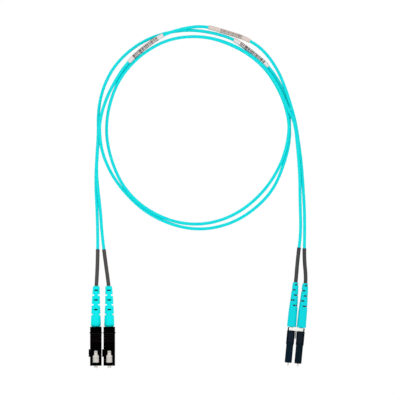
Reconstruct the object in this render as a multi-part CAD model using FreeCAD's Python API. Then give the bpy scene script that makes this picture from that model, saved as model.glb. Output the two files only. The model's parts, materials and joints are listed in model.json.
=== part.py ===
"""Duplex fibre patch cord: two LC plugs held by a clip at one end, two SC plugs at the other.

Everything lies on the plane z = 0, seen from +Z with the plugs' front ends towards -Y.
Each plug is modelled along its own axis: x across, y towards the cable, z up, with y = 0 at the
rear face of its housing. All lengths are in millimetres.
"""
import FreeCAD
import Part

import math
import os

# ---------------------------------------------------------------- driving dimensions
# cable, heat-shrink sleeve and labels
cord_d = 2.0
sleeve_wall = 0.2
label_wall = 0.55
label_length = 28.0
sc_sleeve_out = 23.7
lc_sleeve_out = 22.4
sc_cable_lead = 24.0
lc_cable_lead = 22.0
cross_gap = 0.1
cross_rise = 0.5  # further height where a label lies over other cables
lc_cable_gap = 2.5  # from the crimped tail to the cable's end
sc_cable_gap = 0.4
label_gap = 0.03  # under the labels, to the surface that the cord lies on
slip = 0.02  # radial gap between a cable and what is shrunk or wrapped round it
boot_clear = 0.1  # radial gap between a sleeve and the boot's bore
seat = 0.02  # gap of a fixed joint between two round pieces
run_clear = 0.05  # radial gap of a piece that slides or turns in another
flat_clear = 0.1  # gap beside a flat piece that slides in another
embed = 0.3  # how far an added solid reaches into the one it grows out of
past = 1.0  # how far a cutting solid reaches past the surface
boot_room = 0.6  # free length behind a crimped tail inside the boot
crimp_over = 0.2  # how far a crimp piece stands past the tail

# LC plug
lc_ferrule_d = 1.25
lc_ferrule_out = 2.2
lc_nose = 4.52
lc_rear_width = 5.1
lc_rear_height = 5.0
lc_body_length = 20.6
lc_rear_length = 8.4
lc_ramp = 0.7
lc_corner = 0.35
lc_front_chamfer = 0.35
lc_tip_chamfer = 0.2
lc_cavity_d = 3.2
lc_cavity_depth = 5.0
lc_stop_thick = 0.8
lc_stop_room = 1.3
lc_flange_d = 2.9
lc_flange_length = 2.2
lc_barrel_d = 1.7
lc_barrel_length = 3.1
lc_spring_d = 2.7
lc_spring_wall = 0.3
lc_plug_length = 4.6
lc_neck_length = 2.2
lc_neck_height = 3.7
lc_neck_width = 4.6
lc_tail_d = 2.8
lc_tail_length = 8.8
lc_crimp_wall = 0.33
lc_crimp_length = 8.6
lc_boot_length = 28.5
lc_boot_base = 5.9
lc_boot_waist = 5.6
lc_boot_rear = 3.8
lc_boot_straight = 11.0
lc_boot_gap = 0.3
lc_boot_lip = 0.4
lc_boot_slots = 5
lc_slot_first = 1.5
lc_slot_pitch = 3.3
lc_slot_width = 0.85
lc_slot_past = 0.35
lc_window_length = 1.7
lc_window_height = 1.7
lc_pitch = 6.25
lc_tilt = -5.4

# LC latch arm and the trigger that presses it
arm_width = 2.8
arm_thick = 0.7
arm_root_d = 0.9
arm_length = 12.8
arm_root_back = 1.3
arm_rise = 8.0
arm_block = 0.8
lug_width = 4.4
lug_length = 1.6
lug_from_root = 4.6
trigger_root_front = 0.95
trigger_knee_front = 4.3
trigger_lip = 0.7
trigger_gap = 0.15
trigger_groove = 0.3
trigger_groove_pitch = 0.65
trigger_groove_depth = 0.18

# clip that joins the LC plugs
clip_bar_length = 2.1
clip_bar_short = 0.85
clip_web_length = 7.0
clip_corner = 0.4

# SC plug
sc_ferrule_d = 2.5
sc_ferrule_out = 1.6
sc_width = 7.4
sc_height = 9.0
sc_length = 25.0
sc_corner = 0.5
sc_inner_corner = 0.3
sc_wall = 0.8
sc_inner_front = 0.6
sc_inner_length = 20.4
sc_cavity_d = 4.9
sc_cavity_depth = 8.4
sc_stop_thick = 1.0
sc_stop_room = 1.4
sc_tip_chamfer = 0.35
sc_flange_d = 4.6
sc_flange_length = 2.6
sc_barrel_d = 3.0
sc_barrel_length = 3.4
sc_spring_d = 4.4
sc_spring_wall = 0.5
sc_plug_length = 2.4
sc_grip_travel = 1.4
sc_collar_length = 1.2
sc_tail_d = 3.8
sc_tail_length = 11.4
sc_crimp_wall = 0.4
sc_crimp_length = 7.0
sc_boot_length = 25.8
sc_boot_base = 6.6
sc_boot_mouth = 5.9
sc_boot_rear = 4.4
sc_boot_lip = 0.5
sc_boot_gap = 0.25
sc_boot_flare = 1.0
sc_boot_stub = 1.6
sc_boot_slots = 3
sc_slot_first = 2.7
sc_slot_pitch = 6.2
sc_slot_width = 0.9
sc_face_slot = 2.3
sc_notch_depth = 1.15
sc_key_length = 4.9
sc_key_width = 2.6
sc_key_height = 0.9
sc_key_front = 5.7
sc_ridge_rear = 3.9
sc_ridge_height = 0.5
sc_ridge_length = 1.5
sc_rib_count = 4
sc_rib_pitch = 1.15
sc_rib_depth = 0.25
sc_rib_side = 0.9
sc_window_front = 2.0
sc_window_length = 5.1
sc_window_width = 3.8
sc_window_slope = 0.7
sc_neck_width = 2.2
sc_catch_length = 1.0
sc_catch_height = 0.5
sc_ledge_front = 1.1
sc_ledge_length = 2.2
sc_ledge_depth = 0.55
sc_pitch = 8.6

# where the two pairs lie
sc_centre_x = -61.4
sc_rear_y = -0.8
lc_centre_x = 62.4
lc_rear_y = -3.6


# ---------------------------------------------------------------- solids in a plug's own frame
def block(x0, x1, y0, y1, z0, z1):
    """A box between two corners."""
    return Part.makeBox(x1 - x0, y1 - y0, z1 - z0, FreeCAD.Vector(x0, y0, z0))


def rod(d, y0, y1):
    """A round rod on the plug's axis."""
    return Part.makeCylinder(d / 2, y1 - y0, FreeCAD.Vector(0, y0, 0), FreeCAD.Vector(0, 1, 0))


def cone(d0, d1, y0, y1):
    """A round taper on the plug's axis."""
    start, along = FreeCAD.Vector(0, y0, 0), FreeCAD.Vector(0, 1, 0)
    return Part.makeCone(d0 / 2, d1 / 2, y1 - y0, start, along)


def pipe(d_out, d_in, y0, y1):
    """A round tube on the plug's axis."""
    return rod(d_out, y0, y1).cut(rod(d_in, y0 - 1, y1 + 1))


def axle(d, width, y, z):
    """A round rod across the plug, centred on x = 0."""
    start = FreeCAD.Vector(-width / 2, y, z)
    return Part.makeCylinder(d / 2, width, start, FreeCAD.Vector(1, 0, 0))


def frame_wire(width, height, corner, y):
    """A rounded rectangle across the axis at one y."""
    a, b, r = width / 2, height / 2, corner
    k = r * (1 - math.sqrt(0.5))
    edges = []
    for sx, sz in ((1, 1), (-1, 1), (-1, -1), (1, -1)):
        ends = [(sx * a, sz * (b - r)), (sx * (a - r), sz * b)]
        if sx * sz < 0:
            ends.reverse()
        middle = (sx * (a - k), sz * (b - k))
        p, m, q = [FreeCAD.Vector(x, y, z) for x, z in (ends[0], middle, ends[1])]
        if edges:
            edges.append(Part.LineSegment(last, p).toShape())
        else:
            first = p
        edges.append(Part.Arc(p, m, q).toShape())
        last = q
    edges.append(Part.LineSegment(last, first).toShape())
    return Part.Wire(edges)


def bar(width, height, corner, y0, y1):
    """A rounded rectangular bar along the axis."""
    face = Part.Face(frame_wire(width, height, corner, y0))
    return face.extrude(FreeCAD.Vector(0, y1 - y0, 0))


def taper(size0, y0, size1, y1, corner):
    """A rounded rectangular bar that changes from one (width, height) to another."""
    ends = [frame_wire(*size0, corner, y0), frame_wire(*size1, corner, y1)]
    return Part.makeLoft(ends, True, True)


def side_profile(points, width):
    """A (y, z) outline given thickness across the plug, centred on x = 0."""
    corners = [FreeCAD.Vector(-width / 2, y, z) for y, z in points]
    face = Part.Face(Part.makePolygon(corners + corners[:1]))
    return face.extrude(FreeCAD.Vector(width, 0, 0))


def top_profile(points, z0, z1):
    """An (x, y) outline given height."""
    corners = [FreeCAD.Vector(x, y, z0) for x, y in points]
    face = Part.Face(Part.makePolygon(corners + corners[:1]))
    return face.extrude(FreeCAD.Vector(0, 0, z1 - z0))


def ferrule(d, length, chamfer, y_tip):
    """A ceramic ferrule with its fibre hole left closed and its tip chamfered."""
    tip = cone(d - 2 * chamfer, d, y_tip, y_tip + chamfer)
    return tip.fuse(rod(d, y_tip + chamfer, y_tip + length)).removeSplitter()


# ---------------------------------------------------------------- LC plug
cable_bore = cord_d + 2 * boot_clear
sleeve_d = cord_d + 2 * slip + 2 * sleeve_wall
boot_bore = sleeve_d + 2 * boot_clear
lc_front = -lc_body_length
lc_tip = lc_front - lc_ferrule_out
lc_cavity_end = lc_front + lc_cavity_depth
lc_stop = lc_cavity_end + lc_stop_thick
lc_chamber_d = lc_flange_d + 2 * run_clear
lc_stop_d = lc_ferrule_d + lc_stop_room
lc_flange_end = lc_stop + lc_flange_length
lc_neck_end = lc_neck_length
lc_tail_end = lc_neck_end + lc_tail_length
lc_boot_front = lc_neck_end + lc_boot_gap
lc_boot_end = lc_boot_front + lc_boot_length
lc_window_middle = -lc_plug_length / 2
lc_axis_z = lc_rear_height / 2
lc_cable_start = lc_tail_end + lc_cable_gap

arm_root_y = lc_front + arm_root_back
arm_root_z = lc_nose / 2 + arm_thick / 2 + run_clear
arm_slope = math.tan(math.radians(arm_rise))
arm_end_y = arm_root_y + arm_length
arm_end_z = arm_root_z + arm_slope * arm_length
root_seat_d = arm_root_d + 2 * run_clear
trigger_root_y = -trigger_root_front
trigger_root_z = lc_rear_height / 2 + arm_root_d / 2
trigger_lip_z = arm_end_z + arm_thick / 2 + trigger_gap


def lc_housing():
    """Black front shell: square nose, taller rear block, hinge seats for the latch and trigger."""
    nose_size = (lc_nose, lc_nose)
    rear_size = (lc_rear_width, lc_rear_height)
    tip_size = (lc_nose - 2 * lc_front_chamfer, lc_nose - 2 * lc_front_chamfer)
    ramp_start = -lc_rear_length - lc_ramp
    shell = taper(tip_size, lc_front, nose_size, lc_front + lc_front_chamfer, lc_corner)
    shell = shell.fuse(bar(*nose_size, lc_corner, lc_front + lc_front_chamfer, ramp_start))
    shell = shell.fuse(taper(nose_size, ramp_start, rear_size, -lc_rear_length, lc_corner))
    shell = shell.fuse(bar(*rear_size, lc_corner, -lc_rear_length, 0))
    # blocks that the latch arm and the trigger grow out of
    half = arm_width / 2
    arm_top = arm_root_z + arm_root_d / 2
    block_y = arm_root_y - arm_block
    shell = shell.fuse(block(-half, half, block_y, arm_root_y, lc_nose / 2 - embed, arm_top))
    trigger_top = trigger_root_z + arm_root_d / 2
    rear_top = lc_rear_height / 2
    shell = shell.fuse(block(-half, half, trigger_root_y, 0, rear_top - embed, trigger_top))
    for y, z in ((arm_root_y, arm_root_z), (trigger_root_y, trigger_root_z)):
        shell = shell.cut(axle(root_seat_d, lc_rear_width + past, y, z))
    # ferrule cavity, stop ring and flange chamber
    shell = shell.cut(rod(lc_cavity_d, lc_front - past, lc_cavity_end))
    shell = shell.cut(rod(lc_stop_d, lc_front - past, lc_stop + past))
    shell = shell.cut(rod(lc_chamber_d, lc_stop, past))
    # windows for the rear body's catches
    long, high = lc_window_length / 2, lc_window_height / 2
    middle = lc_window_middle
    return shell.cut(block(-lc_rear_width, lc_rear_width, middle - long, middle + long, -high, high))


def lc_latch_arm():
    """Sloping latch arm with its two shoulders and a ribbed end."""
    lift = arm_thick / 2 / math.cos(math.radians(arm_rise))
    low = [(arm_root_y, arm_root_z - lift), (arm_end_y, arm_end_z - lift)]
    high = [(arm_end_y, arm_end_z + lift), (arm_root_y, arm_root_z + lift)]
    arm = side_profile(low + high, arm_width)
    arm = arm.fuse(axle(arm_root_d, arm_width, arm_root_y, arm_root_z))
    lug_y = arm_root_y + lug_from_root
    front_z = arm_root_z + arm_slope * lug_from_root
    back_z = front_z + arm_slope * lug_length
    lug = [
        (lug_y, front_z - lift),
        (lug_y + lug_length, back_z - lift),
        (lug_y + lug_length, back_z + lift),
        (lug_y, front_z - 0.2 * lift),
    ]
    return arm.fuse(side_profile(lug, lug_width)).removeSplitter()


def lc_trigger():
    """Arched lever that reaches forward over the end of the latch arm."""
    lip_y = arm_end_y - trigger_lip
    knee_y = -trigger_knee_front
    top_z = trigger_lip_z + arm_thick
    radius = arm_root_d / 2
    outline = [
        (lip_y, trigger_lip_z),
        (knee_y - 0.5, trigger_lip_z),
        (trigger_root_y - radius, trigger_root_z),
        (trigger_root_y, trigger_root_z + radius),
        (knee_y, top_z),
        (lip_y + 0.2, top_z),
        (lip_y, top_z - 0.2),
    ]
    lever = side_profile(outline, arm_width)
    lever = lever.fuse(axle(arm_root_d, arm_width, trigger_root_y, trigger_root_z))
    floor_z = top_z - trigger_groove_depth
    for step in range(3):
        y = knee_y - trigger_groove - trigger_groove_pitch * step
        groove = block(-arm_width, arm_width, y - trigger_groove, y, floor_z, top_z + past)
        lever = lever.cut(groove)
    return lever.removeSplitter()


def lc_flange():
    """Metal holder behind the ferrule, with the barrel that guides the spring."""
    body = rod(lc_flange_d, lc_stop, lc_flange_end)
    body = body.fuse(rod(lc_barrel_d, lc_flange_end, lc_flange_end + lc_barrel_length))
    return body.removeSplitter()


def lc_rear_body():
    """Rear body: plug with side catches, square neck for the clip, tail for the crimp."""
    body = rod(lc_chamber_d - 2 * seat, -lc_plug_length, 0)
    long = lc_window_length / 2 - flat_clear
    high = lc_window_height / 2 - flat_clear
    reach = lc_rear_width / 2 - run_clear
    middle = lc_window_middle
    body = body.fuse(block(-reach, reach, middle - long, middle + long, -high, high))
    body = body.fuse(bar(lc_neck_width, lc_neck_height, lc_corner, 0, lc_neck_end))
    body = body.fuse(rod(lc_tail_d, lc_neck_end, lc_tail_end))
    bore = rod(cable_bore, -lc_plug_length - past, lc_tail_end + past)
    return body.cut(bore).removeSplitter()


def lc_boot():
    """Strain-relief boot: straight grip, slotted taper, flats above and below."""
    waist_y = lc_boot_front + lc_boot_straight
    lip_y = lc_boot_end - lc_boot_lip
    body = cone(lc_boot_base, lc_boot_waist, lc_boot_front, waist_y)
    body = body.fuse(cone(lc_boot_waist, lc_boot_rear, waist_y, lip_y))
    body = body.fuse(cone(lc_boot_rear, lc_boot_rear - 2 * lc_boot_lip, lip_y, lc_boot_end))
    wide, flat = lc_boot_base, lc_rear_height / 2
    body = body.common(block(-wide, wide, lc_boot_front, lc_boot_end, -flat, flat))
    # slots that open on the +x and -x side in turn, each a little past the middle
    half_slot = lc_slot_width / 2
    for i in range(lc_boot_slots):
        y = lc_boot_end - lc_slot_first - lc_slot_pitch * i
        side = 1 if i % 2 == 0 else -1
        x0, x1 = sorted((-side * lc_slot_past, side * wide))
        body = body.cut(block(x0, x1, y - half_slot, y + half_slot, -wide, wide))
    crimp_bore = lc_tail_d + 2 * seat + 2 * lc_crimp_wall + 2 * seat
    body = body.cut(rod(boot_bore, lc_boot_front - past, lc_boot_end + past))
    return body.cut(rod(crimp_bore, lc_boot_front - past, lc_tail_end + boot_room)).removeSplitter()


def lc_plug():
    """All pieces of one LC plug in its own frame, by name."""
    spring_start, spring_end = lc_flange_end, -lc_plug_length
    crimp_in = lc_tail_d + 2 * seat
    crimp_end = lc_tail_end + crimp_over
    return {
        "lc_housing": lc_housing(),
        "lc_latch_arm": lc_latch_arm(),
        "lc_trigger": lc_trigger(),
        "lc_ferrule": ferrule(lc_ferrule_d, lc_stop - lc_tip, lc_tip_chamfer, lc_tip),
        "lc_ferrule_flange": lc_flange(),
        "lc_spring": pipe(lc_spring_d, lc_spring_d - 2 * lc_spring_wall, spring_start, spring_end),
        "lc_rear_body": lc_rear_body(),
        "lc_crimp_sleeve": pipe(
            crimp_in + 2 * lc_crimp_wall, crimp_in, crimp_end - lc_crimp_length, crimp_end
        ),
        "lc_boot": lc_boot(),
    }


def lc_duplex_clip():
    """Clip with a web between the plugs and jaws above and below each neck."""
    gap = lc_pitch - lc_rear_width
    web_half = gap / 2 - flat_clear
    thick = (lc_rear_height - lc_neck_height) / 2
    half_height = lc_rear_height / 2
    start = (lc_neck_length - clip_bar_length) / 2
    end = start + clip_bar_length
    clip = block(-web_half, web_half, end - clip_web_length, end, -half_height, half_height)
    reach = lc_pitch / 2 + lc_neck_width / 2 - clip_bar_short
    for z in (half_height - thick + seat, -half_height):
        clip = clip.fuse(block(-reach, reach, start, end, z, z + thick - seat))
    edges = [e for e in clip.Edges if is_upright(e) and abs(abs(e.Vertexes[0].X) - reach) < 1e-6]
    return clip.removeSplitter().makeFillet(clip_corner, edges)


def is_upright(edge):
    """Does a straight edge run along z?"""
    a, b = edge.Vertexes[0].Point, edge.Vertexes[-1].Point
    return abs(a.x - b.x) < 1e-6 and abs(a.y - b.y) < 1e-6


# ---------------------------------------------------------------- SC plug
sc_front = -sc_length
sc_tip = sc_front - sc_ferrule_out
sc_inner_width = sc_width - 2 * sc_wall - 2 * flat_clear
sc_inner_height = sc_height - 2 * sc_wall - 2 * flat_clear
sc_inner_y0 = sc_front + sc_inner_front
sc_inner_y1 = sc_inner_y0 + sc_inner_length
sc_cavity_end = sc_inner_y0 + sc_cavity_depth
sc_stop = sc_cavity_end + sc_stop_thick
sc_stop_d = sc_ferrule_d + sc_stop_room
sc_chamber_d = sc_flange_d + 2 * run_clear
sc_flange_end = sc_stop + sc_flange_length
sc_plug_front = sc_inner_y1 - sc_plug_length
sc_collar_end = sc_inner_y1 + sc_collar_length
sc_tail_end = sc_collar_end + sc_tail_length
sc_boot_front = sc_boot_gap
sc_boot_end = sc_boot_front + sc_boot_length
sc_axis_z = sc_height / 2
sc_cable_start = sc_tail_end + sc_cable_gap
sc_window_y0 = sc_front + sc_window_front
sc_window_y1 = sc_window_y0 + sc_window_length
sc_catch_y = sc_window_y1 + flat_clear
sc_neck_y1 = sc_catch_y + sc_catch_length + sc_grip_travel + flat_clear


def sc_window(z0, z1):
    """Bottle-shaped window: wide towards the front, narrow neck towards the cable."""
    a, b = sc_window_width / 2, sc_neck_width / 2
    right = [(a, sc_window_y0), (a, sc_window_y1 - sc_window_slope), (b, sc_window_y1), (b, sc_neck_y1)]
    left = [(-x, y) for x, y in reversed(right)]
    return top_profile(right + left, z0, z1)


def sc_grip():
    """Push-pull housing: square tube with windows, key, finger ridges and ribs."""
    grip = bar(sc_width, sc_height, sc_corner, sc_front, 0)
    half = sc_width / 2
    side = sc_height / 2 - sc_corner
    # pointed finger ridge down each side
    long = sc_ridge_length / 2
    for s in (-1, 1):
        foot, crest = s * (half - embed), s * (half + sc_ridge_height)
        outline = [(foot, -sc_ridge_rear - long), (foot, -sc_ridge_rear + long), (crest, -sc_ridge_rear)]
        grip = grip.fuse(top_profile(outline, -side, side))
    # key on the -x side
    key_y = sc_front + sc_key_front
    key_x = -half - sc_key_height
    wide = sc_key_width / 2
    grip = grip.fuse(block(key_x, -half + embed, key_y, key_y + sc_key_length, -wide, wide))
    # finger ribs across the top and bottom
    rib_x = half - sc_rib_side
    groove = sc_rib_pitch / 4
    for i in range(sc_rib_count):
        y = -sc_ridge_rear - sc_rib_side - sc_rib_pitch * (i + 0.25)
        for s in (-1, 1):
            z0, z1 = sorted((s * (sc_height / 2 - sc_rib_depth), s * (sc_height / 2 + past)))
            grip = grip.cut(block(-rib_x, rib_x, y - groove, y + groove, z0, z1))
    inside = (sc_width - 2 * sc_wall, sc_height - 2 * sc_wall)
    grip = grip.cut(bar(*inside, sc_inner_corner, sc_front - past, past))
    return grip.cut(sc_window(-sc_height, sc_height)).removeSplitter()


def sc_inner_body():
    """Light inner body: latch ledges in the windows, catches in their necks, stepped bore."""
    half = sc_inner_height / 2
    body = bar(sc_inner_width, sc_inner_height, sc_inner_corner, sc_inner_y0, sc_inner_y1)
    for s in (-1, 1):
        z0, z1 = sorted((s * (half - embed), s * (half + flat_clear + sc_catch_height)))
        wide = sc_neck_width / 2 - flat_clear
        body = body.fuse(block(-wide, wide, sc_catch_y, sc_catch_y + sc_catch_length, z0, z1))
        # sunk step in front of the ledge that the adapter's hooks hold
        z0, z1 = sorted((s * (half - sc_ledge_depth), s * (half + past)))
        step = sc_window_y0 + sc_ledge_front
        body = body.cut(block(-sc_width, sc_width, step, step + sc_ledge_length, z0, z1))
    body = body.cut(rod(sc_cavity_d, sc_inner_y0 - past, sc_cavity_end))
    body = body.cut(rod(sc_stop_d, sc_inner_y0 - past, sc_stop + past))
    return body.cut(rod(sc_chamber_d, sc_stop, sc_inner_y1 + past)).removeSplitter()


def sc_flange():
    """Metal holder behind the ferrule, with the barrel that guides the spring."""
    body = rod(sc_flange_d, sc_stop, sc_flange_end)
    return body.fuse(rod(sc_barrel_d, sc_flange_end, sc_flange_end + sc_barrel_length)).removeSplitter()


def sc_rear_body():
    """Rear body: plug in the inner body, square collar behind it, tail for the crimp ring."""
    body = rod(sc_chamber_d - 2 * seat, sc_plug_front, sc_inner_y1)
    body = body.fuse(bar(sc_inner_width, sc_inner_height, sc_inner_corner, sc_inner_y1, sc_collar_end))
    body = body.fuse(rod(sc_tail_d, sc_collar_end, sc_tail_end))
    return body.cut(rod(cable_bore, sc_plug_front - past, sc_tail_end + past)).removeSplitter()


def sc_boot():
    """Tapered strain-relief boot with face slots and side notches in turn."""
    base = sc_boot_front + sc_boot_flare
    lip_y = sc_boot_end - sc_boot_lip
    body = cone(sc_boot_mouth, sc_boot_base, sc_boot_front, base)
    body = body.fuse(cone(sc_boot_base, sc_boot_rear, base, lip_y))
    body = body.fuse(cone(sc_boot_rear, sc_boot_rear - 2 * sc_boot_lip, lip_y, sc_boot_end))
    stub_d = sc_width - 2 * sc_wall - 6 * flat_clear
    body = body.fuse(rod(stub_d, sc_boot_front - sc_boot_stub, sc_boot_front))
    wide, half_slot, half_face = sc_boot_base, sc_slot_width / 2, sc_face_slot / 2
    fall = (sc_boot_base - sc_boot_rear) / (lip_y - base)
    for i in range(sc_boot_slots):
        y = sc_boot_end - sc_slot_first - sc_slot_pitch * i
        body = body.cut(block(-half_face, half_face, y - half_slot, y + half_slot, -wide, wide))
        y = y - sc_slot_pitch / 2
        inner = (sc_boot_rear + fall * (lip_y - y)) / 2 - sc_notch_depth
        for s in (-1, 1):
            x0, x1 = sorted((s * inner, s * wide))
            body = body.cut(block(x0, x1, y - half_slot, y + half_slot, -wide, wide))
    crimp_bore = sc_tail_d + 2 * seat + 2 * sc_crimp_wall + 2 * seat
    stub_y = sc_boot_front - sc_boot_stub
    body = body.cut(rod(boot_bore, stub_y - past, sc_boot_end + past))
    return body.cut(rod(crimp_bore, stub_y - past, sc_tail_end + boot_room)).removeSplitter()


def sc_plug():
    """All pieces of one SC plug in its own frame, by name."""
    crimp_in = sc_tail_d + 2 * seat
    crimp_end = sc_tail_end + crimp_over
    return {
        "sc_grip": sc_grip(),
        "sc_inner_body": sc_inner_body(),
        "sc_ferrule": ferrule(sc_ferrule_d, sc_stop - sc_tip, sc_tip_chamfer, sc_tip),
        "sc_ferrule_flange": sc_flange(),
        "sc_spring": pipe(sc_spring_d, sc_spring_d - 2 * sc_spring_wall, sc_flange_end, sc_plug_front),
        "sc_rear_body": sc_rear_body(),
        "sc_crimp_ring": pipe(
            crimp_in + 2 * sc_crimp_wall, crimp_in, crimp_end - sc_crimp_length, crimp_end
        ),
        "sc_boot": sc_boot(),
    }


# ---------------------------------------------------------------- cables and what is on them
low = cord_d / 2
high = low + cord_d + cross_gap
mid = (low + high) / 2
top = high + cross_rise
label_d = cord_d + 2 * slip + 2 * label_wall
label_low = label_d / 2 + label_gap

# each route runs from its SC plug to its LC plug: (x, y, height of the centreline)
route_a = [
    (-63.8, 57.0, low), (-65.7, 84.0, low), (-65.6, 112.0, low), (-64.2, 140.0, low),
    (-56.3, 163.5, low), (-41.6, 179.8, low), (-21.8, 188.0, low), (-1.3, 189.3, label_low),
    (18.6, 185.1, label_low), (35.5, 173.5, label_low), (49.3, 161.9, label_low), (57.1, 145.3, low),
    (60.2, 126.1, low), (57.3, 105.0, low), (46.4, 83.2, low), (27.8, 66.7, low),
    (5.1, 59.9, low), (-17.9, 63.1, low), (-38.4, 74.8, low), (-52.9, 90.9, low),
    (-60.9, 109.4, high), (-63.1, 124.2, high), (-60.3, 143.4, high), (-49.8, 162.0, high),
    (-34.8, 177.3, top), (-17.9, 188.8, top), (-1.3, 191.6, mid), (16.6, 189.5, label_low),
    (34.8, 181.9, label_low), (48.0, 170.6, label_low), (56.7, 153.0, low), (61.7, 135.0, low),
    (65.8, 111.0, low), (67.9, 84.5, low), (68.0, 58.0, low),
]
# cable b passes twice along this stretch, the second time on top of itself
shared_b = [(-49.8, 157.7), (-36.5, 172.0), (-19.2, 182.4), (0.6, 185.3), (20.5, 180.7), (36.5, 169.5)]
route_b = [
    (-61.9, 57.0, low), (-63.3, 84.0, low), (-63.35, 112.0, low), (-61.9, 138.5, low),
    *[(x, y, low) for x, y in shared_b],
    (48.6, 156.8, low), (55.3, 141.4, low), (58.0, 124.2, low), (54.5, 105.0, low),
    (42.6, 85.1, low), (25.3, 70.8, low), (4.5, 63.4, low), (-17.3, 65.5, low),
    (-36.2, 76.4, low), (-49.9, 91.5, low), (-56.8, 108.2, low), (-59.1, 124.2, low),
    (-57.0, 142.1, high),
    *[(x, y, high) for x, y in shared_b],
    (50.3, 156.2, high), (58.2, 139.5, high), (62.5, 121.6, high), (64.4, 102.4, low),
    (65.8, 81.0, low), (65.8, 57.5, low),
]
# distance of each label's middle along cable a
label_places = {"label_1": 573.3, "label_2": 632.2, "label_3": 258.3}


def on_sc_axis(side, y):
    """Point on the axis of the left (-1) or right (1) SC plug."""
    return FreeCAD.Vector(sc_centre_x + side * sc_pitch / 2, sc_rear_y + y, sc_axis_z)


def on_lc_axis(side, y):
    """Point on the axis of the left (-1) or right (1) LC plug."""
    turn = FreeCAD.Rotation(FreeCAD.Vector(0, 0, 1), lc_tilt)
    local = turn.multVec(FreeCAD.Vector(side * lc_pitch / 2, y, 0))
    return local + FreeCAD.Vector(lc_centre_x, lc_rear_y, lc_axis_z)


def cable_points(side, route):
    """A whole centreline: straight out of the SC plug, along the route, straight into the LC plug."""
    sc_far, lc_far = sc_cable_start + sc_cable_lead, lc_cable_start + lc_cable_lead
    start = [on_sc_axis(side, sc_cable_start), on_sc_axis(side, sc_far)]
    end = [on_lc_axis(-side, lc_far), on_lc_axis(-side, lc_cable_start)]
    return start + [FreeCAD.Vector(*p) for p in route] + end


def bent_path(points, name):
    """Straight runs joined by tangent arcs, each as large as 0.45 of its shorter run allows."""
    edges, at, radii = [], points[0], []
    for before, corner, after in zip(points, points[1:], points[2:]):
        back, ahead = before - corner, after - corner
        reach = 0.45 * min(back.Length, ahead.Length)
        turn = math.pi - back.getAngle(ahead)
        radius = reach / math.tan(turn / 2)
        back.normalize()
        ahead.normalize()
        start, end = corner + back * reach, corner + ahead * reach
        inward = (back + ahead).normalize()
        middle = corner + inward * (radius / math.cos(turn / 2) - radius)
        edges.append(Part.LineSegment(at, start).toShape())
        edges.append(Part.Arc(start, middle, end).toShape())
        at = end
        radii.append(round(radius))
    edges.append(Part.LineSegment(at, points[-1]).toShape())
    print(name, "arc radii", radii)
    return edges


def stretch(edges, start, end):
    """The part of a path between two distances along it."""
    kept, passed = [], 0.0
    for edge in edges:
        a, b = max(start - passed, 0.0), min(end - passed, edge.Length)
        if b - a > 1e-6:
            first, last = edge.getParameterByLength(a), edge.getParameterByLength(b)
            kept.append(edge.Curve.toShape(first, last))
        passed += edge.Length
    return kept


def swept(edges, d):
    """A round rod along a path."""
    first = edges[0]
    start, along = first.valueAt(first.FirstParameter), first.tangentAt(first.FirstParameter)
    ring = Part.Wire([Part.Circle(start, along, d / 2).toShape()])
    return Part.Wire(edges).makePipeShell([ring], True, False)


def wrapped(edges, d_out):
    """A tube round a cable along a path, with a small gap to the cable."""
    return swept(edges, d_out).cut(swept(edges, cord_d + 2 * slip))


def cables():
    """Both cables with their shrink sleeves, and the labels on cable a, by name."""
    made = {}
    for name, side, route in (("a", -1, route_a), ("b", 1, route_b)):
        edges = bent_path(cable_points(side, route), f"cable_{name}")
        length = sum(e.Length for e in edges)
        tube = swept(edges, cord_d)
        share = tube.Volume / (math.pi * cord_d**2 / 4 * length)
        print(f"cable_{name} length {length:.1f}, volume over section times length {share:.5f}")
        made[f"cable_{name}"] = tube
        sc_end = sc_boot_end - sc_cable_start + sc_sleeve_out
        lc_end = lc_boot_end - lc_cable_start + lc_sleeve_out
        number = {-1: (1, 2), 1: (2, 1)}[side]
        made[f"sc_shrink_sleeve_{number[0]}"] = wrapped(stretch(edges, 0, sc_end), sleeve_d)
        made[f"lc_shrink_sleeve_{number[1]}"] = wrapped(stretch(edges, length - lc_end, length), sleeve_d)
        if name == "a":
            for label, middle in label_places.items():
                ends = middle - label_length / 2, middle + label_length / 2
                made[label] = wrapped(stretch(edges, *ends), label_d)
    return made


# ---------------------------------------------------------------- placing and writing
def lay(shape, x, y, z, angle=0.0, offset=0.0):
    """Move a shape sideways by an offset in its own frame, turn it about z and put it in place."""
    moved = shape.copy()
    moved.translate(FreeCAD.Vector(offset, 0, 0))
    moved.rotate(FreeCAD.Vector(0, 0, 0), FreeCAD.Vector(0, 0, 1), angle)
    moved.translate(FreeCAD.Vector(x, y, z))
    return moved


pieces = {}
for number, side in ((1, -1), (2, 1)):
    for name, shape in lc_plug().items():
        pieces[f"{name}_{number}"] = lay(
            shape, lc_centre_x, lc_rear_y, lc_axis_z, lc_tilt, side * lc_pitch / 2
        )
    for name, shape in sc_plug().items():
        pieces[f"{name}_{number}"] = lay(shape, sc_centre_x + side * sc_pitch / 2, sc_rear_y, sc_axis_z)
pieces.update(cables())
pieces["lc_duplex_clip"] = lay(lc_duplex_clip(), lc_centre_x, lc_rear_y, lc_axis_z, lc_tilt)

os.makedirs("parts", exist_ok=True)
for name, shape in pieces.items():
    shape.exportStep(f"parts/{name}.step")
plugs = [s for n, s in pieces.items() if not n.startswith(("cable", "label")) and "shrink" not in n]
box = Part.makeCompound(plugs).optimalBoundingBox(False, False)
print("plugs", [round(v, 2) for v in (box.XMin, box.XMax, box.YMin, box.YMax, box.ZMin, box.ZMax)])
bad = [n for n, s in pieces.items() if len(s.Solids) != 1 or not s.isValid()]
print("pieces", len(pieces), "not one valid solid:", bad)
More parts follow.
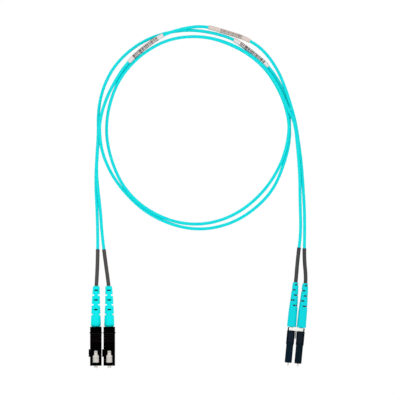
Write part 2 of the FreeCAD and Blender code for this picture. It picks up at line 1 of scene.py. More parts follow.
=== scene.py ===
"""Looks of a duplex fibre patch cord: an LC pair and an SC pair on two aqua cables laid in a loop.

Most pieces of the plugs are the frame's own nodes, with softened edges and materials made here.
The cables, heat-shrink sleeves, labels, coil springs, SC boots and the duplex clip are new pieces
that stand for plain solids, and the dark webs in the LC boots' slots stand for none: they are
painted shade for the shadowed inside of the slots.

All lengths are in metres. "along" is the level direction in which a plug's cable leaves it, and
"across" is to the right of that.
"""
import bisect
import json
import math

import bmesh
import bpy
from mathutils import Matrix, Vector


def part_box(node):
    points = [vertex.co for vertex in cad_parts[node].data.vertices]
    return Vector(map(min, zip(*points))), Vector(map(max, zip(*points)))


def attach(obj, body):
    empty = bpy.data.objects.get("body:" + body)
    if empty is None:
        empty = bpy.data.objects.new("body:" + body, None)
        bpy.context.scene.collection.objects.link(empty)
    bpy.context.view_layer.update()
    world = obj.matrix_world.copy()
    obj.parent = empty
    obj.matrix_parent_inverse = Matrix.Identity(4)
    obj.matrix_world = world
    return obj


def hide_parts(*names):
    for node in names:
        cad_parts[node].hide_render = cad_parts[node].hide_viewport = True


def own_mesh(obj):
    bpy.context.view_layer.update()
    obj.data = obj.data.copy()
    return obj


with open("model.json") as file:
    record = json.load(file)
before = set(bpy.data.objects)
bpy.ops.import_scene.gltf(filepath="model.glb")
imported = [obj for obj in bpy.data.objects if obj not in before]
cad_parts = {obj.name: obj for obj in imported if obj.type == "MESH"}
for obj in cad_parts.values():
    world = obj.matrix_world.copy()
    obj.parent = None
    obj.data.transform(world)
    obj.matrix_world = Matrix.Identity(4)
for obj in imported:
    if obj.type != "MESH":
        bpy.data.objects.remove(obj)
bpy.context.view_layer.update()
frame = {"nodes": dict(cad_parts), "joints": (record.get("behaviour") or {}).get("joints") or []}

# ---------------------------------------------------------------- sizes and places
CORD_BODY = "cord_and_plug_cores"
NORTH = Vector((0, 1, 0))  # the way the cables leave the SC plugs
LC_ALONG = Vector(next(j["axis"] for j in frame["joints"] if j["name"] == "lc_ferrule_slide_1"))

# cables, and what is wrapped round them
CORD_D = 0.002
SC_START_GAP = 0.0002  # from the end of the crimp ring to the start of the cable's tube
LC_START_GAP = 0.0023
BOOT_LEAD = 0.0038  # a cable stays straight this far to both sides of its boot's end
WRAP_GAP = 2e-5  # between a cable and the inside of what is wrapped round it
WRAP_SIDES = 36
WRAP_STEP = 0.0004
OUTER, INNER = 0, 1  # the skins of what is wrapped round a cable
SLEEVE_D = 0.00244
SC_SLEEVE_OUT = 0.0237  # how much of a sleeve shows behind its boot
LC_SLEEVE_OUT = 0.0224
SLEEVE_RIM = (6e-5, 0.0002)  # how deep and how long the rounding at its ends is
PUCKER_DEPTH = 8e-6
PUCKER_WAVES = (2100, 930)  # radians per metre
PUCKER_SWIRL = 3  # radians that the first wave runs ahead and behind round the sleeve
LIP_HEIGHT = 3e-5
LIP_PLACE = 0.0007
LIP_LENGTH = 0.0005
LABEL_D = 0.00314
LABEL_LENGTH = 0.028
LABEL_SHRINK = 6e-5  # how much smaller its radius is than the plain solid's, to stay inside it
LABEL_RIM = (8e-5, 0.00025)
LABEL_STEP = 1.2e-4  # where its end laps over
LABEL_STEP_TURN = 0.35
LABEL_PLACES = {"label_1": 0.5727, "label_2": 0.6306, "label_3": 0.2583}
# each label's paper and ink, where its bars start and end, how many there are and how strong
LABEL_LOOKS = {
    "label_1": ((224, 212, 211), (60, 50, 45), 0.15, 0.85, 11, 0.95),
    "label_2": ((214, 197, 188), (104, 96, 90), 0.28, 0.8, 16, 0.8),
    "label_3": ((226, 217, 215), (54, 42, 40), 0.17, 0.88, 12, 0.95),
}
BAR_DETAIL = 1.5
BAR_THRESHOLD = 0.44
BAR_ROWS = 5
BAR_ROW_FILL = 0.86

# plugs
SC_LEAN = {1: 0.0003, 2: -0.0004}  # how far each SC boot's soft end is drawn aside by its cable
SC_LEAN_LENGTH = 0.014
SC_RIDGE = -0.0047  # the grips' finger ridge, along y
# Painted highlights on the SC grips: lighter bands on the ridge's front slope and on the ribs.
SC_RIDGE_HIGHLIGHT = (0.0001, 0.00075)  # from the ridge towards the front
SC_RIBS_START = 0.0009  # from the ridge to where the first rib's pitch starts
SC_RIB_PITCH = 0.00115
SC_RIBS = 4
SC_LAST_RIB_HIGHLIGHT = 0.0006
LC_SLOTS = 5
LC_SLOT_FIRST = 0.0015
LC_SLOT_PITCH = 0.0033
LC_SLOT_HALF = 0.00042
LC_BOOT_TIP_R = 0.0019
LC_BOOT_TAPER = 0.075  # radius gained per length
LC_BOOT_R = 0.0028
# The webs in the LC boots' slots are dark pieces of painted shade.
SLOT_WEB_DEPTH = 0.0005  # from the boot's surface down to the webs in its slots
SLOT_WEB_INSIDE = 0.00127  # from the boot's axis to the webs' inner face
SLOT_WEB_ANGLES = (-0.75, -0.5, -0.25, 0, 0.2, 0.4)
CLIP_SET_BACK = 0.0022  # from the clip's upper face down to its front web
CLIP_SIDE = 0.001  # this close to the clip's sides there are only its jaws
SAME_PLANE = 1e-5
SPRING_PITCH = 4.4  # in wire radii
SPRING_LEAST_TURNS = 4
SPRING_STEPS = 20  # in each turn
SPRING_SIDES = 8
GRAIN_SWING = 0.06  # how far the roughness of moulded pieces follows their grain
WELD_REACH = 1e-6
SHARP_ANGLE = math.radians(32)

# camera, floor and light
VIEW_WIDTH = 0.256
VIEW_CENTRE = (0.00096, 0.0803)
CAMERA_HEIGHT = 0.9
FLOOR_HALF = 3.0
FLOOR_LEVEL = -2e-5
FLOOR_SEEN = (0.06, 0.96)  # diffuse and glow for rays that see the floor directly
FLOOR_LIGHTS = (0.4, 0.5)  # and for all others
WORLD_SEEN = 1.0  # the same for the surround, which only glows
WORLD_LIGHTS = 0.88
LAMP_SIZE = 0.6
KEY = ((-0.25, 0.25, 0.85), 1.3)  # place and power in watts
FILL = ((0.35, -0.05, 0.8), 0.8)

# heights of the strands' centrelines: on the floor, on another strand, and inside a label
LOW = 0.001
HIGH = 0.0031
LABEL_LOW = 0.0016
# centrelines from SC plug to LC plug: x, y and height
ROUTE_A = [
    (-0.0645, 0.0433, 0.0026), (-0.0645, 0.0595, LOW), (-0.065, 0.0756, LOW),
    (-0.0659, 0.0907, LOW), (-0.0652, 0.107, LOW), (-0.0641, 0.1223, LOW),
    (-0.0643, 0.137, LOW), (-0.0615, 0.1511, LOW), (-0.0552, 0.1644, LOW),
    (-0.045, 0.1755, LOW), (-0.033, 0.1832, LOW), (-0.0204, 0.1875, LOW),
    (-0.0058, 0.1893, 0.0014), (0.009, 0.1875, LABEL_LOW), (0.0234, 0.183, LABEL_LOW),
    (0.0346, 0.1746, LABEL_LOW), (0.0453, 0.1655, LABEL_LOW), (0.0526, 0.1543, 0.0011),
    (0.0574, 0.1428, LOW), (0.0584, 0.1294, LOW), (0.0583, 0.1172, LOW),
    (0.0551, 0.1043, LOW), (0.0488, 0.0884, LOW), (0.0389, 0.0768, LOW),
    (0.0252, 0.0671, LOW), (0.0096, 0.062, LOW), (-0.0057, 0.0616, LOW),
    (-0.0213, 0.0659, LOW), (-0.0355, 0.0737, LOW), (-0.0471, 0.0849, LOW),
    (-0.0553, 0.0959, 0.0012), (-0.0611, 0.1087, 0.003), (-0.0632, 0.12, 0.0052),
    (-0.0633, 0.1313, 0.00525), (-0.0602, 0.1419, 0.0042), (-0.055, 0.1538, 0.0032),
    (-0.0468, 0.1669, 0.0033), (-0.0362, 0.1768, 0.0035), (-0.0244, 0.1853, 0.0036),
    (-0.0118, 0.1898, 0.0032), (0.0032, 0.192, 0.0017), (0.0182, 0.1875, LABEL_LOW),
    (0.031, 0.1835, LABEL_LOW), (0.0418, 0.1763, 0.0017), (0.0508, 0.1636, 0.0024),
    (0.0559, 0.1511, HIGH), (0.0592, 0.1406, 0.00325), (0.0618, 0.1315, LOW),
    (0.0637, 0.1202, LOW), (0.0658, 0.1047, LOW), (0.0668, 0.0911, LOW),
    (0.0678, 0.0756, LOW), (0.068, 0.0596, LOW), (0.0676, 0.043, 0.00175),
]
# cable B passes twice along this stretch, the second time on top of itself
SHARED_B = [(-0.0405, 0.1701), (-0.0288, 0.1786), (-0.0169, 0.1836), (-0.0031, 0.1852)]
ROUTE_B = [
    (-0.0599, 0.0433, 0.0026), (-0.0618, 0.0591, LOW), (-0.0627, 0.0732, 0.0014),
    (-0.0642, 0.0856, 0.0028), (-0.0654, 0.0994, HIGH), (-0.0646, 0.1118, HIGH),
    (-0.0637, 0.1257, HIGH), (-0.0618, 0.1374, 0.0022), (-0.0568, 0.1508, LOW),
    (-0.0497, 0.1608, LOW),
    *[(x, y, LOW) for x, y in SHARED_B],
    (0.0102, 0.1836, LOW), (0.0241, 0.1782, LOW), (0.0347, 0.1717, LOW),
    (0.0438, 0.1631, LOW), (0.0507, 0.1523, LOW), (0.0556, 0.141, 0.0015),
    (0.0583, 0.1284, 0.0036), (0.0569, 0.1164, HIGH), (0.0535, 0.105, 0.0018),
    (0.047, 0.0928, LOW), (0.038, 0.0819, LOW), (0.027, 0.0731, LOW),
    (0.0149, 0.0673, LOW), (0.0014, 0.0645, LOW), (-0.0129, 0.0656, LOW),
    (-0.0264, 0.0704, 0.0019), (-0.0387, 0.0783, 0.0026), (-0.0488, 0.0897, 0.0022),
    (-0.0552, 0.1038, LOW), (-0.0587, 0.118, LOW), (-0.0589, 0.1305, 0.0012),
    (-0.0565, 0.1435, 0.0024), (-0.0508, 0.1577, HIGH),
    *[(x, y, HIGH) for x, y in SHARED_B],
    (0.0102, 0.1838, HIGH), (0.0243, 0.1786, HIGH), (0.035, 0.1719, HIGH),
    (0.0445, 0.1634, HIGH), (0.0513, 0.1527, HIGH), (0.0568, 0.1399, 0.0034),
    (0.0618, 0.1295, HIGH), (0.0631, 0.1171, HIGH), (0.0642, 0.105, HIGH),
    (0.0649, 0.0926, 0.0022), (0.065, 0.0769, LOW), (0.0656, 0.0603, LOW),
    (0.0635, 0.0428, 0.00175),
]


def linear(red, green, blue):
    """A colour written as it shows on a screen, 0 to 255, in linear light with an alpha of 1."""
    shares = [v / 255 for v in (red, green, blue)]
    return (*[s / 12.92 if s <= 0.04045 else ((s + 0.055) / 1.055) ** 2.4 for s in shares], 1.0)


def shaded(colour, factor):
    """The colour made lighter or darker."""
    return (*[min(1.0, c * factor) for c in colour[:3]], 1.0)


def add_object(name, data):
    """A new object in the scene."""
    thing = bpy.data.objects.new(name, data)
    bpy.context.scene.collection.objects.link(thing)
    return thing


def add_piece(name, mesh, material, node=None):
    """A new piece on the body of cables and plug cores, in place of a node if one is named."""
    mesh.materials.clear()
    mesh.materials.append(material)
    piece = add_object(name, mesh)
    if node:
        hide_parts(node)
    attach(piece, CORD_BODY)
    return piece


# ---------------------------------------------------------------- materials
class Surface:
    """A node material that is being built: its shader, and short ways to add nodes."""

    def __init__(self, name):
        self.material = bpy.data.materials.new(name)
        self.material.use_nodes = True
        self.nodes = self.material.node_tree.nodes
        self.shader = self.nodes["Principled BSDF"]

    def link(self, output, socket):
        self.material.node_tree.links.new(output, socket)

    def place(self, kind="Object"):
        return self.nodes.new("ShaderNodeTexCoord").outputs[kind]

    def noise(self, scale, detail=3.0, stretch=None):
        """Noise in the piece's own space, with features about 1 / scale metres wide."""
        noise = self.nodes.new("ShaderNodeTexNoise")
        noise.inputs["Scale"].default_value = scale
        noise.inputs["Detail"].default_value = detail
        place = self.place()
        if stretch:
            mapping = self.nodes.new("ShaderNodeMapping")
            mapping.inputs["Scale"].default_value = stretch
            self.link(place, mapping.inputs["Vector"])
            place = mapping.outputs["Vector"]
        self.link(place, noise.inputs["Vector"])
        return noise.outputs["Fac"]

    def parts(self, kind):
        """The x, y and z of a place."""
        node = self.nodes.new("ShaderNodeSeparateXYZ")
        self.link(self.place(kind), node.inputs["Vector"])
        return node.outputs

    def maths(self, operation, a, b=0.0):
        node = self.nodes.new("ShaderNodeMath")
        node.operation = operation
        for socket, value in zip(node.inputs, (a, b)):
            if isinstance(value, (int, float)):
                socket.default_value = value
            else:
                self.link(value, socket)
        return node.outputs["Value"]

    def between(self, value, low, high):
        """1 where value is between low and high, else 0."""
        above = self.maths("GREATER_THAN", value, low)
        below = self.maths("LESS_THAN", value, high)
        return self.maths("MULTIPLY", above, below)

    def mix(self, factor, a, b):
        """A colour between a and b."""
        node = self.nodes.new("ShaderNodeMix")
        node.data_type = "RGBA"
        self.link(factor, node.inputs["Factor"])
        for name, value in (("A_Color", a), ("B_Color", b)):
            socket = next(s for s in node.inputs if s.identifier == name)
            if isinstance(value, tuple):
                socket.default_value = value
            else:
                self.link(value, socket)
        return next(s for s in node.outputs if s.identifier == "Result_Color")

    def cloud(self, value, colour, low, high):
        """The colour, made lighter or darker between two factors by a value from 0 to 1."""
        return self.mix(value, shaded(colour, low), shaded(colour, high))

    def paint(self, colour):
        self.link(colour, self.shader.inputs["Base Color"])

    def rough(self, value, low, high):
        """Roughness that follows a value from 0 to 1."""
        node = self.nodes.new("ShaderNodeMapRange")
        node.inputs["To Min"].default_value = low
        node.inputs["To Max"].default_value = high
        self.link(value, node.inputs["Value"])
        self.link(node.outputs["Result"], self.shader.inputs["Roughness"])

    def bump(self, height, depth):
        """Relief of that depth in metres."""
        node = self.nodes.new("ShaderNodeBump")
        node.inputs["Distance"].default_value = depth
        node.inputs["Strength"].default_value = 1.0
        self.link(height, node.inputs["Height"])
        self.link(node.outputs["Normal"], self.shader.inputs["Normal"])

    def set(self, **values):
        for name, value in values.items():
            self.shader.inputs[name.replace("_", " ")].default_value = value


def moulded(
    name, colour, roughness, gloss, grain=9000, depth=3e-6, cloud=0.08, glow=0.0, bands=()
):
    """Moulded plastic: a faint cloud in its colour and a fine even grain.

    Each band is a stretch along y, from low to high, with a colour of its own.
    """
    surface = Surface(name)
    tint = surface.cloud(surface.noise(scale=350), colour, low=1 - cloud, high=1 + cloud)
    if bands:
        along = surface.parts("Object")["Y"]
        # Each band lays its colour over the tint as painted light, like the SC grips' painted
        # highlights.
        for low, high, painted_light in bands:
            tint = surface.mix(surface.between(along, low, high), tint, painted_light)
    surface.paint(tint)
    fine = surface.noise(grain, detail=4)
    surface.rough(fine, low=roughness - GRAIN_SWING, high=roughness + GRAIN_SWING)
    surface.bump(fine, depth)
    surface.set(Specular_IOR_Level=gloss)
    if glow:
        surface.set(Subsurface_Weight=glow, Subsurface_Scale=0.0006)
    return surface.material


def jacket():
    """Aqua cable jacket: extruded plastic, a little waxy, faintly wavy."""
    surface = Surface("aqua_cable_jacket")
    waves = surface.noise(scale=260, detail=2)
    surface.paint(surface.cloud(waves, linear(6, 220, 223), low=0.96, high=1.04))
    fine = surface.noise(scale=5200, detail=4)
    surface.rough(fine, low=0.34, high=0.5)
    surface.bump(fine, depth=6e-6)
    surface.set(Specular_IOR_Level=0.1, Subsurface_Weight=0.5, Subsurface_Scale=0.001)
    return surface.material


def shrink_film(name, colour, boot_shade_from, boot_shade_to):
    """Dark grey heat-shrink: matt, with small puckers, and painted dark teal shade where it runs
    inside its boot.
    """
    surface = Surface(name)
    pucker = surface.noise(scale=1500)
    # Painted shade: the part inside its boot is painted dark teal.
    boot_shade = surface.between(surface.parts("UV")["X"], boot_shade_from, boot_shade_to)
    grey = surface.cloud(pucker, colour, low=0.82, high=1.15)
    surface.paint(surface.mix(boot_shade, grey, linear(14, 24, 27)))
    surface.rough(surface.noise(scale=9000, detail=4), low=0.48, high=0.66)
    surface.bump(pucker, depth=2e-5)
    surface.set(Specular_IOR_Level=0.25)
    return surface.material


def label_film(name, paper, ink, print_from, print_to, bars, strength):
    """Laminated label: bare ends and a middle with plain printed bars of uneven width."""
    surface = Surface(name)
    place = surface.parts("UV")
    uneven = surface.nodes.new("ShaderNodeTexNoise")
    uneven.noise_dimensions = "1D"
    uneven.inputs["Detail"].default_value = BAR_DETAIL
    surface.link(surface.maths("MULTIPLY", place["X"], bars), uneven.inputs["W"])
    row = surface.maths("FRACT", surface.maths("MULTIPLY", place["Y"], BAR_ROWS))
    mark = strength
    for part in (
        surface.maths("GREATER_THAN", uneven.outputs[0], BAR_THRESHOLD),
        surface.maths("LESS_THAN", row, BAR_ROW_FILL),
        surface.between(place["X"], print_from, print_to),
    ):
        mark = surface.maths("MULTIPLY", part, mark)
    shade = surface.noise(scale=500)
    surface.paint(surface.mix(mark, surface.cloud(shade, paper, low=0.93, high=1.04), ink))
    surface.rough(shade, low=0.24, high=0.4)
    surface.bump(surface.noise(scale=2500), depth=4e-6)
    surface.set(Specular_IOR_Level=0.4, Coat_Weight=0.25, Coat_Roughness=0.15)
    return surface.material


def ceramic():
    """Zirconia of the ferrules: near white, dense and finely polished."""
    surface = Surface("zirconia")
    haze = surface.noise(scale=1800)
    surface.paint(surface.cloud(haze, linear(236, 234, 228), low=0.97, high=1.02))
    surface.rough(surface.noise(scale=12000), low=0.12, high=0.24)
    surface.set(Specular_IOR_Level=0.6, Subsurface_Weight=0.15, Subsurface_Scale=0.0004)
    return surface.material


def turned_metal():
    """Nickel-plated turned parts, with tool lines round the plug's axis."""
    surface = Surface("turned_metal")
    lines = surface.noise(scale=4000, stretch=(0.2, 6.0, 0.2))
    surface.paint(surface.cloud(lines, linear(190, 190, 188), low=0.85, high=1.05))
    surface.rough(lines, low=0.22, high=0.42)
    surface.bump(lines, depth=3e-6)
    surface.set(Metallic=1.0)
    return surface.material


# ---------------------------------------------------------------- cables
def across_of(along):
    """The level direction to the right of along."""
    return Vector((along.y, -along.x, 0))


def corners_of(node, along):
    """A node's vertices as distances across, along and up."""
    across = across_of(along)
    return [(v.co.dot(across), v.co.dot(along), v.co.z) for v in frame["nodes"][node].data.vertices]


def spread(corners):
    """Lowest and highest distance across, along and up."""
    return [(min(values), max(values)) for values in zip(*corners)]


def placed(along, x, y, z):
    """The point at these distances across, along and up."""
    return across_of(along) * x + along * y + Vector((0, 0, z))


def end_on_axis(node, along):
    """Centre of a round node's end that faces along."""
    (left, right), (_, end), (low, high) = spread(corners_of(node, along))
    return placed(along, (left + right) / 2, end, (low + high) / 2)


def cable_points(sc_number, lc_number, route):
    """Control points of a cable: out of its SC boot, along the route, straight into its LC boot."""
    start = end_on_axis(f"sc_crimp_ring_{sc_number}", NORTH) + NORTH * SC_START_GAP
    end = end_on_axis(f"lc_crimp_sleeve_{lc_number}", LC_ALONG) + LC_ALONG * LC_START_GAP
    sc_mouth = end_on_axis(f"sc_boot_{sc_number}", NORTH)
    lc_mouth = end_on_axis(f"lc_boot_{lc_number}", LC_ALONG)
    # the curve passes halfway between the two points of the lead, so the second goes twice as far
    aside = Vector((2 * SC_LEAN[sc_number], 0, 0))
    lead_out = [sc_mouth - NORTH * BOOT_LEAD, sc_mouth + NORTH * BOOT_LEAD + aside]
    lead_in = [lc_mouth + LC_ALONG * BOOT_LEAD, lc_mouth - LC_ALONG * BOOT_LEAD]
    return [start, *lead_out, *[Vector(p) for p in route], *lead_in, end]


class Line:
    """The smooth centreline of a cable, with places given as distances along it."""

    def __init__(self, curve):
        mesh = bpy.data.meshes.new_from_object(curve)
        self.points = [v.co.copy() for v in mesh.vertices]
        bpy.data.meshes.remove(mesh)
        self.passed = [0.0]
        for a, b in zip(self.points, self.points[1:]):
            self.passed.append(self.passed[-1] + (b - a).length)
        self.length = self.passed[-1]

    def at(self, distance):
        """Point at that distance, and the direction there."""
        i = min(max(bisect.bisect_right(self.passed, distance), 1), len(self.points) - 1)
        a, b = self.points[i - 1], self.points[i]
        share = (distance - self.passed[i - 1]) / (self.passed[i] - self.passed[i - 1])
        before, after = self.points[max(i - 2, 0)], self.points[min(i + 1, len(self.points) - 1)]
        turn = (b - before).normalized().lerp((after - a).normalized(), min(max(share, 0), 1))
        return a.lerp(b, share), turn.normalized()


def make_cable(name, points, material):
    """A cable as one smooth curve through its route, and its centreline."""
    curve = bpy.data.curves.new(name, "CURVE")
    curve.dimensions = "3D"
    curve.resolution_u = 16
    spline = curve.splines.new("NURBS")
    spline.points.add(len(points) - 1)
    for place, point in zip(spline.points, points):
        place.co = (*point, 1)
    spline.order_u = 3
    spline.use_endpoint_u = True
    cable = add_object(f"{name}_jacket", curve)
    line = Line(cable)
    curve.bevel_depth = CORD_D / 2
    curve.bevel_resolution = 8
    curve.use_fill_caps = True
    curve.materials.append(material)
    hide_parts(name)
    # only now, because Blender keeps a wrong box for a curve that gets its thickness afterwards
    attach(cable, CORD_BODY)
    return cable, line


def wrap(name, line, start, end, radius, material, node):
    """A closed tube round a cable from one distance to another.

    radius(share, turn) is its outer radius at a share of its length and a share of a turn.
    """
    count = max(2, round((end - start) / WRAP_STEP))
    vertices, faces, places = [], [], []
    for ring in range(count + 1):
        share = ring / count
        middle, along = line.at(start + (end - start) * share)
        side = along.cross(Vector((0, 0, 1))).normalized()
        up = side.cross(along)
        for skin in (OUTER, INNER):
            for k in range(WRAP_SIDES):
                turn = k / WRAP_SIDES
                angle = 2 * math.pi * turn
                reach = radius(share, turn) if skin == OUTER else CORD_D / 2 + WRAP_GAP
                vertices.append(middle + (side * math.cos(angle) + up * math.sin(angle)) * reach)

    def add(*corners):
        """A face whose corners are given by ring, skin and number of sides round."""
        faces.append([(2 * ring + skin) * WRAP_SIDES + k % WRAP_SIDES for ring, skin, k in corners])
        places.extend((ring / count, k / WRAP_SIDES) for ring, skin, k in corners)

    for ring in range(count):
        far = ring + 1
        for k in range(WRAP_SIDES):
            after = k + 1
            add((ring, OUTER, k), (ring, OUTER, after), (far, OUTER, after), (far, OUTER, k))
            add((ring, INNER, k), (far, INNER, k), (far, INNER, after), (ring, INNER, after))
    for k in range(WRAP_SIDES):
        after = k + 1
        add((0, OUTER, k), (0, INNER, k), (0, INNER, after), (0, OUTER, after))
        add((count, OUTER, k), (count, OUTER, after), (count, INNER, after), (count, INNER, k))
    mesh = bpy.data.meshes.new(name)
    mesh.from_pydata(vertices, [], faces)
    layer = mesh.uv_layers.new(name="UVMap")
    layer.data.foreach_set("uv", [value for place in places for value in place])
    mesh.shade_smooth()
    return add_piece(name, mesh, material, node)


def rim(to_end, rounding):
    """How deep a wrap is rounded off at that distance from its end."""
    depth, reach = rounding
    return depth * max(0.0, 1 - to_end / reach)


def sleeve_radius(length, free_last):
    """Outer radius of a heat-shrink sleeve: shallow puckers, and a lip at its free end.

    free_last is true if that is the end that comes last on its cable.
    """
    swing, fine = PUCKER_WAVES

    def radius(share, turn):
        place = share * length
        swirl = PUCKER_SWIRL * math.sin(2 * math.pi * turn)
        pucker = math.sin(place * swing + swirl) + math.sin(place * fine)
        to_end = (1 - share if free_last else share) * length
        lip = LIP_HEIGHT * math.exp(-((to_end - LIP_PLACE) / LIP_LENGTH) ** 2)
        return SLEEVE_D / 2 + PUCKER_DEPTH * pucker + lip - rim(to_end, SLEEVE_RIM)

    return radius


def label_radius(share, turn):
    """Outer radius of a label wound once round a cable, with a step where its end laps over."""
    lap = (turn + LABEL_STEP_TURN) % 1.0
    to_end = min(share, 1 - share) * LABEL_LENGTH
    return LABEL_D / 2 - LABEL_SHRINK - LABEL_STEP * (1 - lap) - rim(to_end, LABEL_RIM)


def make_cables():
    """Both cables, their sleeves and the labels on the first."""
    aqua = jacket()
    sc_grey, lc_grey = linear(69, 67, 66), linear(56, 57, 58)
    for name, sc, lc, route in (("cable_a", 1, 2, ROUTE_A), ("cable_b", 2, 1, ROUTE_B)):
        points = cable_points(sc, lc, route)
        cable, line = make_cable(name, points, aqua)
        sc_end = (end_on_axis(f"sc_boot_{sc}", NORTH) - points[0]).length + SC_SLEEVE_OUT
        lc_end = (end_on_axis(f"lc_boot_{lc}", LC_ALONG) - points[-1]).length + LC_SLEEVE_OUT
        # Each sleeve is painted dark as painted shade where it runs inside its boot.
        sc_film = shrink_film(
            f"sc_heat_shrink_{sc}", sc_grey, boot_shade_from=-1, boot_shade_to=1 - SC_SLEEVE_OUT / sc_end
        )
        lc_film = shrink_film(
            f"lc_heat_shrink_{lc}", lc_grey, boot_shade_from=LC_SLEEVE_OUT / lc_end, boot_shade_to=2
        )
        on_cable = [
            wrap(
                f"sc_sleeve_{sc}", line, 0, sc_end, sleeve_radius(sc_end, free_last=True),
                sc_film, f"sc_shrink_sleeve_{sc}",
            ),
            wrap(
                f"lc_sleeve_{lc}", line, line.length - lc_end, line.length,
                sleeve_radius(lc_end, free_last=False),
                lc_film, f"lc_shrink_sleeve_{lc}",
            ),
        ]
        if name == "cable_a":
            for label, middle in LABEL_PLACES.items():
                paper, ink, *bars = LABEL_LOOKS[label]
                film = label_film(f"{label}_paper", linear(*paper), linear(*ink), *bars)
                start, end = middle - LABEL_LENGTH / 2, middle + LABEL_LENGTH / 2
                on_cable.append(
                    wrap(
                        f"{label}_film", line, start, end, label_radius,
                        film, label,
                    )
                )


# ---------------------------------------------------------------- plugs
def soften(piece, width):
    """Softly rounded edges on a piece."""
    weld = piece.modifiers.new("weld", "WELD")
    weld.merge_threshold = WELD_REACH
    bevel = piece.modifiers.new("soft_edges", "BEVEL")
    bevel.width = width
    bevel.segments = 2
    bevel.limit_method = "ANGLE"
    bevel.angle_limit = SHARP_ANGLE
    bevel.use_clamp_overlap = True


def dress(node, material, edge):
    """Give a node of the frame its material and its soft edges."""
    piece = frame["nodes"][node]
    piece.data.materials.clear()
    piece.data.materials.append(material)
    soften(piece, edge)


def make_leaning_boot(number, material):
    """An SC boot whose soft end is drawn aside by its cable, in place of the straight one."""
    node = f"sc_boot_{number}"
    mesh = frame["nodes"][node].data.copy()
    lean_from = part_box(node)[1].y - SC_LEAN_LENGTH
    for vertex in mesh.vertices:
        share = max(0.0, (vertex.co.y - lean_from) / SC_LEAN_LENGTH)
        vertex.co.x += SC_LEAN[number] * share * share
    soften(add_piece(f"{node}_leaning", mesh, material, node), width=8e-5)


def make_slot_shade_webs(number, material):
    """Thin dark webs set deep in an LC boot's slots, beside the sleeve: painted shade for the
    shadowed inside of the slots.
    """
    mouth = end_on_axis(f"lc_boot_{number}", LC_ALONG)
    corners, faces = [], []
    for i in range(LC_SLOTS):
        back = LC_SLOT_FIRST + LC_SLOT_PITCH * i
        side = 1 if i % 2 == 0 else -1
        outer = min(LC_BOOT_TIP_R + LC_BOOT_TAPER * back, LC_BOOT_R) - SLOT_WEB_DEPTH
        arc = [(outer * math.cos(a), outer * math.sin(a)) for a in SLOT_WEB_ANGLES]
        outline = [(SLOT_WEB_INSIDE, arc[0][1]), *arc, (SLOT_WEB_INSIDE, arc[-1][1])]
        first, count = len(corners), len(outline)
        for half in (-LC_SLOT_HALF, LC_SLOT_HALF):
            corners += [mouth + placed(LC_ALONG, side * x, -(back + half), z) for x, z in outline]
        for k in range(count):
            after = (k + 1) % count
            faces.append((first + k, first + after, first + count + after, first + count + k))
        faces += [range(first, first + count), range(first + count, first + 2 * count)]
    mesh = bpy.data.meshes.new(f"lc_boot_webs_{number}")
    mesh.from_pydata(corners, [], faces)
    turned = bmesh.new()
    turned.from_mesh(mesh)
    bmesh.ops.recalc_face_normals(turned, faces=turned.faces)
    turned.to_mesh(mesh)
    turned.free()
    add_piece(f"lc_boot_webs_{number}", mesh, material)


def make_clip(material):
    """The duplex clip with its front web set back between the plugs, in place of the plain one."""
    node = "lc_duplex_clip"
    corners = corners_of(node, LC_ALONG)
    (left, right), (front, end), _ = spread(corners)
    jaw_front = min(y for x, y, z in corners if x < left + CLIP_SIDE)
    web = [x for x, y, z in corners if y < front + SAME_PLANE]
    web_left, web_right = min(web), max(web)
    levels = sorted({round(z, 6) for x, y, z in corners})
    shape = bmesh.new()
    for x0, x1, y0, y1, z0, z1 in (
        (left, right, jaw_front, end, levels[0], levels[1]),
        (left, right, jaw_front, end, levels[-2], levels[-1]),
        (web_left, web_right, jaw_front, end, levels[1], levels[-2]),
        (web_left, web_right, front, jaw_front, levels[0], levels[-1] - CLIP_SET_BACK),
    ):
        for vertex in bmesh.ops.create_cube(shape, size=1.0)["verts"]:
            x, y, z = (c + 0.5 for c in vertex.co)
            vertex.co = placed(
                LC_ALONG, x0 + x * (x1 - x0), y0 + y * (y1 - y0), z0 + z * (z1 - z0)
            )
    mesh = bpy.data.meshes.new(f"{node}_moulded")
    shape.to_mesh(mesh)
    shape.free()
    soften(add_piece(f"{node}_moulded", mesh, material, node), width=1.5e-4)


def make_spring(node, along, material):
    """A coil, with a mesh of its own, in place of a spring's plain envelope."""
    corners = corners_of(node, along)
    (left, right), (start, end), (low, high) = spread(corners)
    middle, centre_z = (left + right) / 2, (low + high) / 2
    radii = [math.hypot(x - middle, z - centre_z) for x, y, z in corners]
    wire = (max(radii) - min(radii)) / 2
    radius = (max(radii) + min(radii)) / 2
    length = end - start - 2 * wire
    turns = max(SPRING_LEAST_TURNS, round(length / (SPRING_PITCH * wire)))
    steps = SPRING_STEPS * turns
    points, faces = [], []
    for i in range(steps + 1):
        turn = 2 * math.pi * turns * i / steps
        outward = across_of(along) * math.cos(turn) + Vector((0, 0, math.sin(turn)))
        hub = placed(along, middle, start + wire + length * i / steps, centre_z)
        for k in range(SPRING_SIDES):
            angle = 2 * math.pi * k / SPRING_SIDES
            reach = radius + wire * math.cos(angle)
            points.append(hub + outward * reach + along * wire * math.sin(angle))
    for i in range(steps):
        ring, following = i * SPRING_SIDES, (i + 1) * SPRING_SIDES
        for k in range(SPRING_SIDES):
            after = (k + 1) % SPRING_SIDES
            faces.append((ring + k, ring + after, following + after, following + k))
    last = steps * SPRING_SIDES
    faces += [range(SPRING_SIDES - 1, -1, -1), range(last, last + SPRING_SIDES)]
    mesh = bpy.data.meshes.new(f"{node}_coil")
    mesh.from_pydata(points, [], faces)
    mesh.shade_smooth()
    piece = add_piece(f"{node}_coil", mesh, material, node)
    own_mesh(piece)


